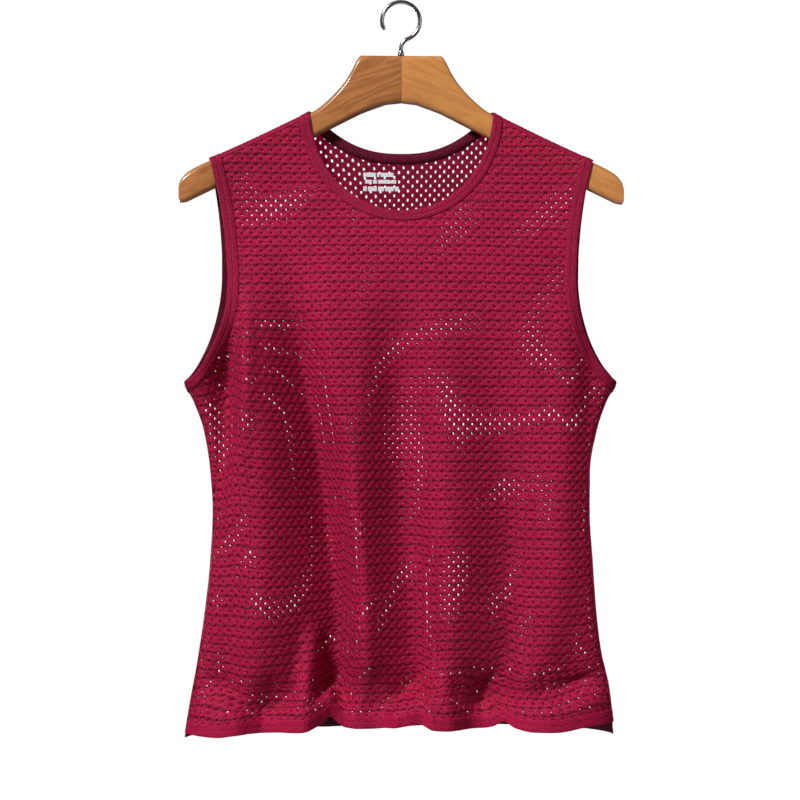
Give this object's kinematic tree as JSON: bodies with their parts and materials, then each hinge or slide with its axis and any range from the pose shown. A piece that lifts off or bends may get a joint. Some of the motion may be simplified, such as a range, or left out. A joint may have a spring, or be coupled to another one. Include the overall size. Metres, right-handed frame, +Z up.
{
  "type": "mesh tank top on a hanger",
  "caption": "Sleeveless crew-neck tank top in open mesh knit with bound neck and armholes, hanging in soft folds on a contoured wooden hanger.",
  "frame": {"origin": "point inside the hook where the rail bears, above the middle of the garment", "axes": "+Z up, from the hem to the hook; -Y out of the front of the garment; +X towards the picture's right"},
  "size_m": [0.442, 0.1024, 0.736],
  "materials": {
    "mesh_knit": "open mesh knit with a soft sheen",
    "binding_knit": "close knit binding",
    "wood_left": "varnished, darker half",
    "wood_right": "varnished, lighter half",
    "steel": "bright plated wire"
  },
  "bodies": {
    "root": {"front_panel": "mesh_knit", "back_panel": "mesh_knit", "neck_binding": "binding_knit", "armhole_binding_left": "binding_knit", "armhole_binding_right": "binding_knit", "hem_front": "binding_knit", "hem_back": "binding_knit", "hanger_arm_left": "wood_left", "hanger_arm_right": "wood_right", "hook_collar": "steel", "hanger_hook": "steel"}
  },
  "joints": []
}
